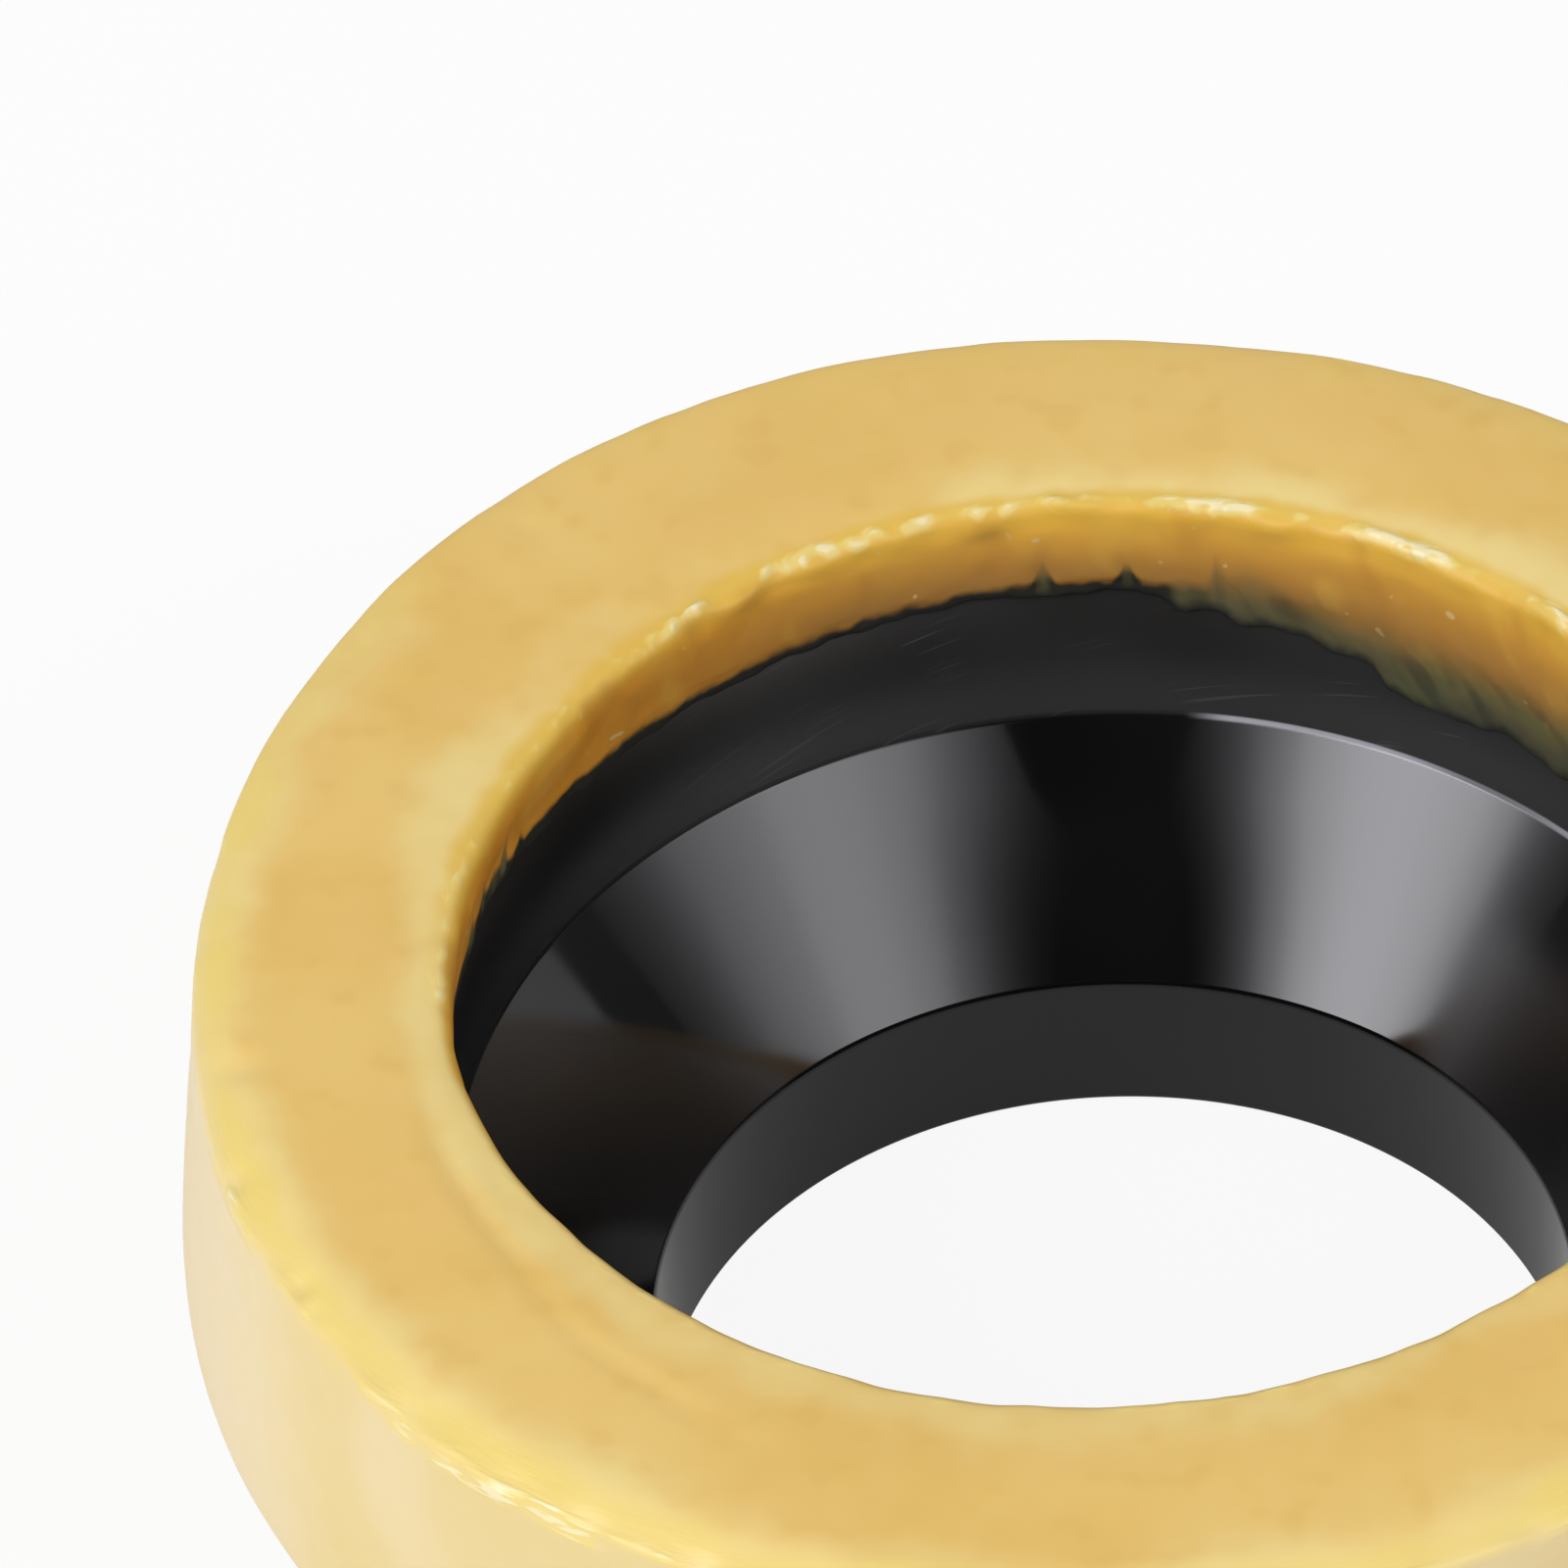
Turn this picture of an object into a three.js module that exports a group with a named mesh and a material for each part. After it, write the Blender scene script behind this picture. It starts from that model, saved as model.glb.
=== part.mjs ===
// Toilet pan seal: a wax ring cast round a moulded plastic horn.
// The ring is squeezed between the pan's outlet and the floor flange, and the
// horn hangs down from it into the waste pipe.
// Millimetres, +Z up. The seal's axis is Z and the horn's lower rim is z = 0.

import * as THREE from 'three';

// Horn: one moulding with a straight neck, a cone, a straight collar and a flange.
const neckRadius = 34.8;
const neckHeight = 12.5;
const coneHeight = 15.4;
const collarRadius = 49.2;
const collarHeight = 15.1;
const hornWall = 1.8;
const flangeReach = 7;
const flangeThickness = 1.8;
const rimRound = 0.5;
const cornerRound = 1.2;

// Wax ring: it stands above the horn's flange and outside it, and its foot is wider than its top.
const waxCover = 7.6;
const waxHeight = 29;
const waxOutsideFlange = 9.4;
const sideDraft = 2.3;
const bellyHeight = 4.5;
const outerShoulderWidth = 3;
const outerShoulderDrop = 1.6;
const boreShoulderWidth = 3.4;
const boreShoulderDrop = 2.2;
const footRound = 2.6;

// Lip: the wax laps over the inside of the collar and thins towards an uneven lower edge.
const lipThickness = 1;
const lipEdge = 0.45;
const lipDrop = 4.4;
const lipUnevenness = 0.45;
const lipLowSide = THREE.MathUtils.degToRad(48);

// A hand-filled ring is a little out of round, outside and in its bore.
const outerSway = 0.3;
const outerFullSide = THREE.MathUtils.degToRad(107);
const boreSway = 0.3;
const boreFullSide = THREE.MathUtils.degToRad(86);

// The wax keeps this distance from the plastic that it is cast round.
const seatGap = 0.3;

const segments = 96;
const roundSteps = 3;

// No rounded corner takes more than this share of either of its edges.
const longestRound = 0.48;

// Sizes that follow from the ones above.
const coneTop = neckHeight + coneHeight;
const collarTop = coneTop + collarHeight;
const flangeFloor = collarTop - flangeThickness;
const flangeRadius = collarRadius + hornWall + flangeReach;
const coneAngle = Math.atan2(collarRadius - neckRadius, coneHeight);
const waxTop = collarTop + waxCover;
const waxFoot = waxTop - waxHeight;
const topRadius = flangeRadius + waxOutsideFlange;
const footRadius = topRadius + sideDraft;
const boreRadius = collarRadius - lipThickness;

// A section is a closed run of corners in the r, z plane. A corner may be rounded, by the
// same run along both of its edges or by one run before it and another after it.
function section(corners) {
  const path = new THREE.Path();
  const count = corners.length;
  corners.forEach((corner, index) => {
    const here = new THREE.Vector2(corner.r, corner.z);
    const start = alongEdge(here, corners[(index + count - 1) % count], corner.before ?? corner.round);
    const end = alongEdge(here, corners[(index + 1) % count], corner.after ?? corner.round);
    if (index === 0) {
      path.moveTo(start.x, start.y);
    } else {
      path.lineTo(start.x, start.y);
    }
    if (!start.equals(end)) {
      path.quadraticCurveTo(here.x, here.y, end.x, end.y);
    }
  });
  path.closePath();
  return path.getPoints(roundSteps);
}

// The point this far along the edge to the next corner, and short of the edge's middle.
function alongEdge(here, corner, run = 0) {
  const edge = new THREE.Vector2(corner.r, corner.z).sub(here);
  return here.clone().addScaledVector(edge, Math.min(run / edge.length(), longestRound));
}

// The closed section is spun about the seal's axis, which is then stood up along Z.
function spin(points) {
  const geometry = new THREE.LatheGeometry(points, segments);
  geometry.rotateX(Math.PI / 2);
  return geometry;
}

// The horn's outside, from the rim up to the flange, at a distance from the horn's bore.
// A parallel surface has its corners lower where the cone meets the straight walls.
function hornOutside(distance, top) {
  const shift = distance * Math.tan(coneAngle / 2);
  return [
    { r: neckRadius + distance, z: 0, round: rimRound },
    { r: neckRadius + distance, z: neckHeight - shift, round: cornerRound },
    { r: collarRadius + distance, z: coneTop - shift, round: cornerRound },
    { r: collarRadius + distance, z: top, round: cornerRound },
  ];
}

// The part of a rising run of corners that lies above a height, closed off at that height.
function above(corners, height) {
  const kept = corners.filter((corner) => corner.z > height);
  const last = corners[corners.length - kept.length - 1];
  const share = (height - last.z) / (kept[0].z - last.z);
  return [{ r: THREE.MathUtils.lerp(last.r, kept[0].r, share), z: height }, ...kept];
}

// Horn

const hornSection = section([
  ...hornOutside(hornWall, flangeFloor),
  { r: flangeRadius, z: flangeFloor },
  { r: flangeRadius, z: collarTop },
  { r: collarRadius, z: collarTop },
  { r: collarRadius, z: coneTop },
  { r: neckRadius, z: neckHeight },
  { r: neckRadius, z: 0, round: rimRound },
]);

const horn = new THREE.Mesh(
  spin(hornSection),
  new THREE.MeshStandardMaterial({ color: 0x1d1d1f, roughness: 0.3, metalness: 0 }),
);
horn.name = 'horn';

// Wax ring

const grooveRadius = flangeRadius + seatGap;
const grooveTop = collarTop + seatGap;
const grooveFloor = flangeFloor - seatGap;
const lipBack = collarRadius - seatGap;
const lipFoot = collarTop - lipDrop;
const bellyTop = waxFoot + bellyHeight;
const hornSeat = above(hornOutside(hornWall + seatGap, grooveFloor), waxFoot);

const waxSection = section([
  { r: footRadius, z: waxFoot, round: footRound },
  { r: footRadius, z: bellyTop, round: bellyHeight },
  { r: topRadius, z: waxTop, before: outerShoulderDrop, after: outerShoulderWidth },
  { r: boreRadius, z: waxTop, before: boreShoulderWidth, after: boreShoulderDrop },
  { r: boreRadius, z: collarTop },
  { r: lipBack - lipEdge, z: lipFoot },
  { r: lipBack, z: lipFoot },
  { r: lipBack, z: grooveTop },
  { r: grooveRadius, z: grooveTop },
  { r: grooveRadius, z: grooveFloor },
  ...hornSeat.reverse(),
]);

// How the ring strays from a true circle: oval and slightly three-cornered, fullest at one side.
function stray(angle, fullSide) {
  const oval = Math.cos(2 * (angle - fullSide));
  const threeCornered = Math.cos(3 * (angle - fullSide));
  return oval + threeCornered;
}

// The side wall and the bore's upper edge stray from round, and the groove that holds
// the flange stays true. The lip's lower edge wanders up and down the collar.
function shapeByHand(geometry) {
  const { smoothstep } = THREE.MathUtils;
  const position = geometry.attributes.position;
  for (let index = 0; index < position.count; index += 1) {
    const point = new THREE.Vector3().fromBufferAttribute(position, index);
    const radius = Math.hypot(point.x, point.y);
    const angle = Math.atan2(point.y, point.x);
    const outside = smoothstep(radius, grooveRadius, topRadius - outerShoulderWidth);
    const inBore = 1 - smoothstep(radius, boreRadius + boreShoulderWidth, grooveRadius);
    const atTop = smoothstep(point.z, grooveTop, waxTop - boreShoulderDrop);
    const moved = radius
      + outside * outerSway * stray(angle, outerFullSide)
      + inBore * atTop * boreSway * stray(angle, boreFullSide);
    const onLipEdge = radius < collarRadius && point.z > coneTop && point.z < collarTop - lipDrop / 2;
    if (onLipEdge) {
      point.z -= lipDrop * lipUnevenness * stray(angle, lipLowSide);
    }
    position.setXYZ(index, point.x * moved / radius, point.y * moved / radius, point.z);
  }
  return geometry;
}

const waxRing = new THREE.Mesh(
  shapeByHand(spin(waxSection)),
  new THREE.MeshStandardMaterial({ color: 0xe3bc6c, roughness: 0.45, metalness: 0 }),
);
waxRing.name = 'wax_ring';

const group = new THREE.Group();
group.add(horn, waxRing);

export default group;
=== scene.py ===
# %% [markdown]
# Toilet pan seal
# A soft wax ring is cast round a black plastic horn. The pan is pressed down on the
# wax, and the horn guides its outlet into the waste pipe. This lesson dresses the two
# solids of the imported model: the ring gets its hand-filled, slightly torn surface, the
# horn its moulded edges, and each gets a finish made of shader nodes. Everything is in
# metres, with the horn's rim on z = 0 and the seal's axis on Z.

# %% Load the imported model
import math

import bmesh
import bpy
from mathutils import Matrix, Vector, noise


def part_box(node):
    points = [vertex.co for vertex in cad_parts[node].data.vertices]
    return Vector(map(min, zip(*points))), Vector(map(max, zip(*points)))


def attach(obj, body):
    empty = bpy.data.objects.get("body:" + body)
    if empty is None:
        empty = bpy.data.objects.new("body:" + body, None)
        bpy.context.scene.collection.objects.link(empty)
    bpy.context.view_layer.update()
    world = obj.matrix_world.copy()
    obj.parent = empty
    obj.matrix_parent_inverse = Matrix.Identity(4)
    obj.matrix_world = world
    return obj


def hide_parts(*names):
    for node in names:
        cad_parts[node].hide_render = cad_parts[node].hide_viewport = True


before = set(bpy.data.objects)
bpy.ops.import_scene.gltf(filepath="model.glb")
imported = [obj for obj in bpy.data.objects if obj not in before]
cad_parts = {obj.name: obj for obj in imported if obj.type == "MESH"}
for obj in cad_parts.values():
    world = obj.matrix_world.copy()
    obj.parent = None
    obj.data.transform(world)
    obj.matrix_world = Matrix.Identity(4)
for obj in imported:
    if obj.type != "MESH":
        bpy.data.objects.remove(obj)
print("the packed model has", len(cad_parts), "solids")
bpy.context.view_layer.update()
wax_low, wax_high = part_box("wax_ring")
horn_low, horn_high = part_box("horn")
print("wax ring from", round(wax_low.z * 1000, 1), "to", round(wax_high.z * 1000, 1), "mm")
print("horn from", round(horn_low.z * 1000, 1), "to", round(horn_high.z * 1000, 1), "mm")

# %% [markdown]
# Helpers for modelling by hand
# Both pieces are round, so both start as a circle whose edge is pulled up, widened or
# narrowed, again and again, as a potter pulls a wall. The last edge is then bridged to
# the first, which closes the section. Heights and radii are given in millimetres here,
# because that is how the seal is measured.

# %% Start a round piece
MM = 0.001


def nothing_selected():
    if bpy.context.object and bpy.context.object.mode == "EDIT":
        bpy.ops.object.mode_set(mode="OBJECT")
    bpy.ops.object.select_all(action="DESELECT")


def pull(ring, to):
    """Extrudes the selected edge from one radius and height to another."""
    (r0, z0), (r1, z1) = ring, to
    bpy.ops.mesh.extrude_region()
    bpy.ops.transform.resize(value=(r1 / r0, r1 / r0, 1), center_override=(0, 0, 0))
    bpy.ops.transform.translate(value=(0, 0, (z1 - z0) * MM))


def turned(name, section, around):
    """A closed ring of this section, pulled up from one circle."""
    nothing_selected()
    r, z = section[0]
    bpy.ops.mesh.primitive_circle_add(vertices=around, radius=r * MM, location=(0, 0, z * MM))
    piece = bpy.context.object
    piece.name = piece.data.name = name
    bpy.ops.object.transform_apply(location=True, rotation=True, scale=True)
    bpy.ops.object.mode_set(mode="EDIT")
    bpy.ops.mesh.select_all(action="SELECT")
    for here, there in zip(section, section[1:]):
        pull(here, there)
    bpy.ops.mesh.select_all(action="DESELECT")
    bpy.ops.mesh.select_non_manifold()
    bpy.ops.mesh.bridge_edge_loops()
    bpy.ops.mesh.select_all(action="SELECT")
    bpy.ops.mesh.normals_make_consistent(inside=False)
    bpy.ops.object.mode_set(mode="OBJECT")
    print(name, "has", len(piece.data.polygons), "faces round its section")
    return piece


def select_edges(piece, corners):
    """Selects the edges that run round the piece at these corners of its section."""
    bpy.ops.mesh.select_mode(type="EDGE")
    bpy.ops.mesh.select_all(action="DESELECT")
    mesh = bmesh.from_edit_mesh(piece.data)
    for edge in mesh.edges:
        ends = [(math.hypot(v.co.x, v.co.y) / MM, v.co.z / MM) for v in edge.verts]
        edge.select = any(
            all(abs(r - cr) < 0.02 and abs(z - cz) < 0.02 for r, z in ends) for cr, cz in corners
        )
    bmesh.update_edit_mesh(piece.data)


def crease(piece, corners, sharpness):
    """Keeps edges sharp under subdivision."""
    bpy.ops.object.mode_set(mode="EDIT")
    select_edges(piece, corners)
    bpy.ops.transform.edge_crease(value=sharpness)
    bpy.ops.object.mode_set(mode="OBJECT")


def subdivided(piece, levels):
    modifier = piece.modifiers.new("Smooth", "SUBSURF")
    modifier.levels = modifier.render_levels = levels
    modifier.boundary_smooth = "ALL"
    bpy.ops.object.modifier_apply(modifier=modifier.name)
    bpy.ops.object.shade_smooth()
    print(piece.name, "has", len(piece.data.polygons), "faces after smoothing")


# %% [markdown]
# The horn
# The real horn is one thin moulding: a straight neck that enters the pipe, a cone, a
# straight collar, and a flange that holds it in the wax. A circle is pulled round the
# whole section, and the cone gets a belly of a third of a millimetre. The two inner
# creases are then bevelled by a third of a millimetre, because a moulded edge is never
# a knife edge. The long bright line of light between collar and cone is a painted
# highlight in the plastic's finish. Weighted normals keep the bevels from bending the
# cone's reflections.

# %% Pull the horn's section
NECK, CONE, COLLAR = 34.8, 27.9, 49.2
NECK_TOP = 12.5
WALL = 1.8
BELLY = 0.25
RIM_ROUND, CREASE_ROUND, OUTSIDE_ROUND = 0.45, 0.35, 1.0
HORN_TOP = horn_high.z / MM
FLANGE = horn_high.x / MM
shift = WALL * math.tan(math.atan2(COLLAR - NECK, CONE - NECK_TOP) / 2)


def cone_point(share):
    """A point this far down the cone's bore, pushed out by the belly."""
    bulge = BELLY * 4 * share * (1 - share)
    return (COLLAR + (NECK - COLLAR) * share - bulge, CONE + (NECK_TOP - CONE) * share + bulge)


horn_section = [
    (NECK, 0.0),
    (NECK + WALL, 0.0),
    (NECK + WALL, NECK_TOP - shift),
    (COLLAR + WALL, CONE - shift),
    (COLLAR + WALL, HORN_TOP - WALL),
    (FLANGE, HORN_TOP - WALL),
    (FLANGE, HORN_TOP),
    (COLLAR, HORN_TOP),
    (COLLAR, CONE),
    *[cone_point(share) for share in (0.25, 0.5, 0.75)],
    (NECK, NECK_TOP),
]
horn = turned("horn_moulding", horn_section, 480)

# %% Round the horn's edges
bpy.ops.object.mode_set(mode="EDIT")
for corners, width in (
    ([(NECK, 0.0), (NECK + WALL, 0.0)], RIM_ROUND),
    ([(COLLAR, CONE), (NECK, NECK_TOP)], CREASE_ROUND),
    ([(NECK + WALL, NECK_TOP - shift), (COLLAR + WALL, CONE - shift)], OUTSIDE_ROUND),
):
    select_edges(horn, corners)
    bpy.ops.mesh.bevel(offset=width * MM, segments=4, profile=0.5)
bpy.ops.object.mode_set(mode="OBJECT")
bpy.ops.object.shade_smooth_by_angle(angle=math.radians(30))
bpy.ops.object.modifier_add(type="WEIGHTED_NORMAL")
bpy.ops.object.modifier_apply(modifier=horn.modifiers[-1].name)
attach(horn, "root")
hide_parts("horn")
print("horn has", len(horn.data.polygons), "faces")

# %% [markdown]
# The wax ring, first as a smooth casting
# The ring leans out a little towards its foot, its top edges are soft, and it holds
# the horn's flange in a groove. The cage below has one ring of points wherever the
# section turns. Two levels of subdivision, applied, make it smooth and give it enough
# points to be worked by hand afterwards.

# %% Pull the ring's section
TOP = wax_high.z / MM
FOOT = wax_low.z / MM
wax_section = [
    (46.3, FOOT),
    (57.0, FOOT),
    (66.6, FOOT),
    (68.8, FOOT + 0.3),
    (69.6, FOOT + 1.4),
    (69.7, FOOT + 4.0),
    (69.4, FOOT + 8.5),
    (68.7, FOOT + 14.5),
    (67.95, FOOT + 20.5),
    (67.6, TOP - 3.5),
    (67.5, TOP - 1.7),
    (67.45, TOP - 0.85),
    (67.25, TOP - 0.35),
    (66.7, TOP - 0.15),
    (65.5, TOP - 0.06),
    (63.0, TOP),
    (58.8, TOP),
    (54.6, TOP - 0.05),
    (51.9, TOP - 0.25),
    (50.3, TOP - 0.5),
    (49.4, TOP - 0.7),
    (48.8, TOP - 1.0),
    (48.45, TOP - 1.5),
    (48.3, TOP - 2.4),
    (48.2, TOP - 4.0),
    (48.2, TOP - 5.8),
    (48.2, TOP - 7.6),
    (48.3, TOP - 9.0),
    (48.4, TOP - 10.2),
    (48.55, TOP - 11.2),
    (48.85, TOP - 12.0),
    (49.08, TOP - 11.6),
    (49.1, TOP - 9.5),
    (48.9, TOP - 7.3),
    (58.3, TOP - 7.3),
    (58.3, TOP - 9.7),
    (51.3, TOP - 9.7),
    (51.3, CONE - 0.85),
]
wax = turned("wax_casting", wax_section, 160)
groove = wax_section[-5:] + wax_section[:1]
crease(wax, groove, 1.0)
subdivided(wax, 2)

# %% [markdown]
# Working the wax by hand
# A filled mould leaves soft hollows, the knife that trims the ring leaves a chipped
# outer edge, and the bore's upper edge tears and smears. Each of these is a small move
# of the points, made of Perlin noise at its own scale and limited to its own zone.
# What changes round the ring is written as a table of angles, counted in degrees from
# +X, with a value at each. Below the collar's top the wax is only a skin on the black
# plastic. One table says where its amber ends, another where the skin itself ends.

# %% Tables round the ring
AMBER_END = [
    (12, 9.8), (28, 10.6), (46, 11.2), (54, 11.2), (60, 10.9), (66, 10.3), (72, 9.0), (78, 8.5),
    (83, 8.9), (90, 8.7), (98, 8.6), (108, 8.9), (118, 9.1), (129, 9.2), (139, 9.1), (147, 9.0),
    (154, 8.7), (159, 8.0), (163, 8.4), (168, 9.2), (195, 8.8), (250, 9.2), (300, 9.0),
    (345, 9.2),
]
SKIN_END = [
    (43, 17.0), (50, 16.2), (58, 16.8), (62, 16.2), (64, 14.2), (67, 13.8), (71, 13.0),
    (74, 12.4), (76, 12.7), (78, 11.2), (81, 11.9), (84, 10.2), (86.5, 9.6), (92, 9.9),
    (105, 9.9), (118, 10.2), (129, 10.4), (139, 10.5), (147, 10.5), (155, 10.4), (160, 10.0),
    (165, 11.2), (170, 11.4), (195, 11.4), (250, 12.4), (300, 13.2), (345, 15.6),
]
BORE_EDGE = [
    (20, 0.0), (46, 0.1), (90, 0.15), (118, -0.1), (132, -0.75), (150, -0.95), (172, -0.7),
    (190, -0.15), (203, -0.5), (215, -1.0), (235, -1.45), (270, -1.7), (300, -1.65),
    (330, -1.0),
]
OUTER_EDGE = [
    (20, 0.2), (60, 0.3), (88, 0.0), (98, 0.25), (110, 0.75), (125, 0.85), (140, 0.75),
    (152, 0.5), (165, 0.35), (180, 0.25), (205, 0.5), (222, 0.8), (250, 0.6), (300, 0.3),
]
SLUMP = [
    (20, 0.55), (60, 0.12), (95, 0.0), (135, 0.0), (152, 0.45), (172, 0.9), (195, 1.0),
    (225, 1.0), (260, 0.85), (300, 0.9), (345, 0.8),
]
TRIM = [
    (20, 0.5), (60, 0.25), (100, 0.1), (150, 0.15), (185, 0.3), (205, 0.45), (216, 0.8),
    (230, 0.9), (255, 0.8), (300, 0.6), (345, 0.5),
]
PALE = [
    (20, 0.8), (46, 0.9), (92, 0.9), (108, 0.25), (140, 0.25), (152, 0.8), (180, 0.9),
    (205, 0.8), (225, 0.6), (260, 0.55), (300, 0.6), (345, 0.8),
]
TORN = [
    (20, 0.7), (46, 1.0), (80, 1.0), (96, 0.7), (106, 1.1), (128, 1.3), (134, 0.6), (150, 0.3),
    (165, 0.3), (178, 0.45), (200, 0.25), (250, 0.3), (300, 0.4), (345, 0.5),
]


def around(table, degrees):
    """Reads a table of (degrees, value) pairs smoothly, right round the ring."""
    degrees %= 360
    rows = [(table[-1][0] - 360, table[-1][1]), *table, (table[0][0] + 360, table[0][1])]
    for (a0, v0), (a1, v1) in zip(rows, rows[1:]):
        if a0 <= degrees <= a1:
            return v0 + (v1 - v0) * smooth(degrees, a0, a1)


def smooth(value, low, high):
    share = min(max((value - low) / (high - low), 0.0), 1.0)
    return share * share * (3 - 2 * share)


def hump(value, middle, width):
    return math.exp(-((value - middle) / width) ** 2)


# %% [markdown]
# Marks of the trimming knife
# A few marks are single ones: notches where a bubble kept the wax off the collar, dents
# in the face and its outer edge, and a shallow track that the knife left across the
# face. Each notch and dent is a hump of its own at one angle.

# %% Single marks and noise
NOTCHES = [
    (94.0, 1.5, 0.8), (86.3, 1.7, 0.9), (78.0, 1.3, 0.5), (111.0, 0.5, 0.8), (153.5, 1.2, 0.6),
    (156.5, 1.7, 0.5), (161.5, 1.0, 0.5), (165.5, 1.6, 0.5),
]
DENTS = [
    (188.7, 64.2, 0.35, 1.6), (198.0, 66.9, 0.4, 1.2), (208.6, 66.2, 0.4, 0.9),
    (211.0, 66.9, 0.3, 0.7), (131.5, 63.0, 0.12, 1.2), (150.0, 60.5, 0.1, 1.5),
]
TRACK = [(185, 51.2), (211, 52.5), (231, 55.1), (247, 57.0)]


def rough(angle, height, scale, seed):
    """Perlin noise over the ring, at this many millimetres to a wave."""
    at = Vector((50 * math.cos(angle), 50 * math.sin(angle), height)) / scale
    return noise.noise(at + Vector((seed, seed * 0.7, -seed)))


def stray(angle, full_side):
    turn = angle - math.radians(full_side)
    return math.cos(2 * turn) + math.cos(3 * turn)


class Column:
    """What the tables say at one angle, worked out once for all points above each other."""

    def __init__(self, angle):
        degrees = math.degrees(angle)
        self.amber = around(AMBER_END, degrees)
        self.amber += 0.5 * rough(angle, 0, 4.0, 3.1) + 0.25 * rough(angle, 0, 1.6, 8.4)
        self.amber -= sum(size * hump(degrees, middle, width) for middle, size, width in NOTCHES)
        ragged = 0.5 * rough(angle, 0, 3.0, 5.7) + 0.35 * rough(angle, 0, 1.5, 2.7)
        self.skin = max(around(SKIN_END, degrees) + ragged, self.amber + 0.5)
        self.bore = around(BORE_EDGE, degrees)
        self.slump = around(SLUMP, degrees)
        self.trim = around(TRIM, degrees)
        self.torn = around(TORN, degrees)
        self.pale = around(PALE, degrees)
        self.track = around(TRACK, degrees)
        self.track_depth = smooth(degrees % 360, 188, 208) * (1 - smooth(degrees % 360, 234, 250))
        self.back = smooth(math.sin(angle), -0.1, 0.3)
        self.wiggle = 0.45 * rough(angle, 0, 3.2, 5.1) + 0.3 * rough(angle, 0, 1.5, 7.9)
        self.outer_sway = 0.3 * stray(angle, 107) + around(OUTER_EDGE, degrees)
        self.bore_swell = 0.35 * rough(angle, 0, 6.0, 1.9)


# %% [markdown]
# From one point to the next
# Each point of the ring is worked in the same order. First the outside strays from a
# true circle and the face falls off towards its rim. Then the knife chips the rim, the
# face gets its marks, the bore's edge tears, and the lip thins to a skin. On the way each
# point also gathers three values for the finish: shoulder_sheen, a painted highlight
# where the rounded shoulders of both edges catch the light, glow, a painted glow of
# clearer yellow where light comes through the thin edges, and burr_and_glint, where
# it stands up torn and gets a painted glint.

# %% Work one point
GROOVE_START, GROOVE_END, GROOVE_DEPTH = 49.15, 60, 6.5
FLANGE_EDGE = 58.3
RIM_RADIUS = 67.1
LIP_RADIUS = 48.9
LIP_TOP, LIP_END = 7.6, 11.9
COLLAR_SEAT = 48.97


class Spot:
    """One point of the ring: its radius and depth as cast, r and z as worked, and its marks."""

    def __init__(self, place):
        x, y, z = place / MM
        self.x, self.y, self.z = x, y, z
        self.r = self.radius = math.hypot(x, y)
        self.angle = math.atan2(y, x)
        self.degrees = math.degrees(self.angle) % 360
        self.depth = TOP - z
        self.shoulder_sheen = self.glow = self.burr_and_glint = 0.0

    def rough(self, scale, seed):
        return rough(self.angle, self.z, scale, seed)

    def in_groove(self):
        within = GROOVE_START < self.radius < GROOVE_END
        return within and GROOVE_DEPTH < self.depth < TOP - FOOT - 0.5

    def moved(self):
        return (self.x * self.r / self.radius * MM, self.y * self.r / self.radius * MM, self.z * MM)


def stray_outside(spot, column):
    """The outside strays from a true circle, and the face falls off towards its rim."""
    outside = smooth(spot.radius, FLANGE_EDGE, 64.4)
    spot.r += outside * column.outer_sway * (1 - 0.45 * smooth(spot.depth, 8, 24))
    wall = smooth(spot.z, FOOT + 1.0, FOOT + 5.0) * smooth(spot.radius, 66.5, 67.3)
    spot.r += wall * (0.16 * spot.rough(14, 1.3) + 0.05 * spot.rough(4, 2.2))
    slope = smooth(spot.radius, 62.4, 67.6) ** 1.4 * (1 - smooth(spot.depth, 1.2, 5.0))
    spot.z -= slope * column.slump * (1.15 + 0.3 * rough(spot.angle, 0, 12, 6.2))


def chip_rim(spot, column):
    """The knife chips the rim and leaves burrs on it with painted glints, and beside it go a painted glow
    and a painted highlight on the shoulder.
    """
    radius, depth = spot.radius, spot.depth
    rim = hump(radius, RIM_RADIUS, 0.9) * (1 - smooth(depth, 0.9, 2.4))
    chip = max(spot.rough(3.2, 6.6) - 0.1, 0)
    scar = spot.rough(7, 9.1)
    fine = spot.rough(2.6, 4.4)
    spot.r += rim * column.trim * (0.3 * scar - 0.7 * chip + 0.1 * fine)
    spot.z += rim * column.trim * (0.3 * spot.rough(5, 7.3) - 0.6 * chip + 0.1 * fine)
    on_top = 1 - smooth(depth, 0.9, 1.5)
    # The burrs along the rim are raised and get a painted glint in the finish.
    wall_top = smooth(radius, 66.9, 67.25) * smooth(depth, 0.2, 0.8) * (1 - smooth(depth, 1.6, 3.0))
    edge = max(hump(radius, RIM_RADIUS + 0.4 * column.wiggle, 0.35) * on_top, wall_top)
    spot.burr_and_glint += edge * column.trim * (0.45 + 1.2 * scar + 0.9 * fine)
    # A painted glow of clearer yellow just inside the rim, where light comes through the thin wax.
    patchy = (0.2 + 0.8 * column.slump) * (0.8 + 0.9 * scar)
    spot.glow += smooth(radius + 1.6 * scar + 0.8 * fine, 63.4, 65.8) * on_top * patchy
    # Beside the rim the rounded shoulder gets a painted highlight, a paler colour.
    wander = 2.0 * rough(spot.angle, 0, 9, 4.3)
    spot.shoulder_sheen += column.slump * smooth(radius + wander, 59.5, 66.0) * on_top


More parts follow.
